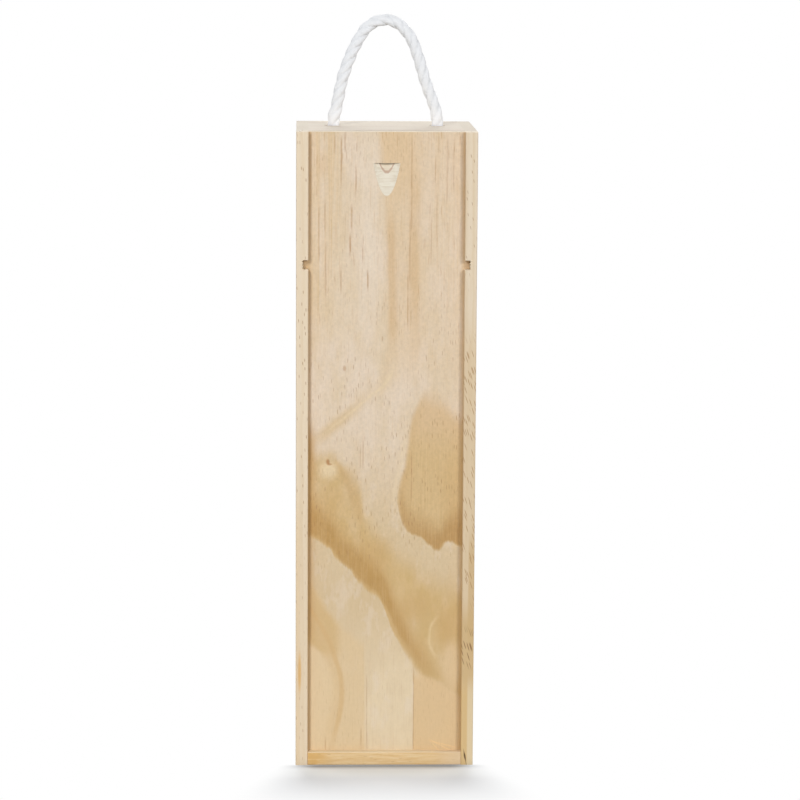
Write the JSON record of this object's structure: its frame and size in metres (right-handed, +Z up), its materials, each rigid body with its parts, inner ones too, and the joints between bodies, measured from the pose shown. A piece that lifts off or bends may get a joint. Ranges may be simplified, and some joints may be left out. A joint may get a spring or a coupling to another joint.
{
  "type": "wine box",
  "caption": "Upright pine box for one bottle, with a plywood lid that slides up out of grooves and a folding rope handle on top.",
  "frame": {"origin": "centre of the base, on the surface that the box stands on", "axes": "+Z up towards the rope handle, +X to the right seen from the front, the sliding lid faces -Y"},
  "size_m": [0.0992, 0.1, 0.4163],
  "materials": {
    "pine_sides": "planed and sanded, bare",
    "pine_panels": "planed and sanded, bare",
    "plywood_inner": "sanded, bare",
    "plywood_lid": "fine sanded, bare",
    "rope": "twisted cotton",
    "brads": "plain bright"
  },
  "bodies": {
    "box": {"side_wall_left": "pine_sides", "side_wall_right": "pine_sides", "bottom_panel": "pine_panels", "top_panel": "pine_panels", "back_panel": "plywood_inner", "neck_support": "plywood_inner", "rope_end_left": "rope", "rope_end_right": "rope", "side_brads": "brads", "back_brads": "brads"},
    "lid": {"sliding_lid": "plywood_lid"},
    "handle": {"rope_handle": "rope"}
  },
  "joints": [
    {"name": "lid_slide", "type": "slide", "parent": "box", "child": "lid", "axis": [0, 0, 1], "range_m": [0, 0.34]},
    {"name": "handle_swing", "type": "hinge", "parent": "box", "child": "handle", "pos_m": [0, 0.00905, 0.35765], "axis": [-1, 0, 0], "range_deg": [-54, 85], "stiffness_Nm_per_rad": 0.01}
  ]
}
